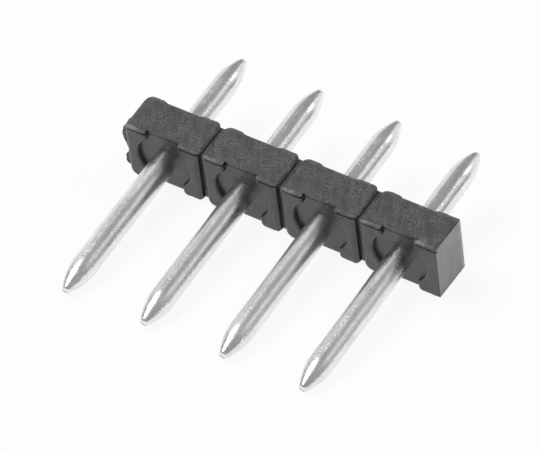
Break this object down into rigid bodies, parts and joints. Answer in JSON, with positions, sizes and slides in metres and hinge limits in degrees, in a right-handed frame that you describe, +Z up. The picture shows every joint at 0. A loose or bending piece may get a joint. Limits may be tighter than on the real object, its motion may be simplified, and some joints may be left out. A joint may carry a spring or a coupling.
{
  "type": "pcb header connector",
  "caption": "Break-apart pin strip: black plastic body of snap-off cells with straight round pins, long contact ends and short solder ends.",
  "frame": {"origin": "centre of the bounding box, on the surface the strip rests on", "axes": "+X along the row of pins, +Z up; the long contact ends point to -Y and lean down onto the surface by about 8.5 degrees, the short solder ends point to +Y"},
  "size_m": [0.0142, 0.0128, 0.003],
  "materials": {
    "strip_plastic": "fine spark-eroded grain, satin black",
    "pin_metal": "bright tin plate over brass"
  },
  "bodies": {
    "root": {"strip": "strip_plastic", "pin_1": "pin_metal", "pin_2": "pin_metal", "pin_3": "pin_metal", "pin_4": "pin_metal"}
  },
  "joints": []
}
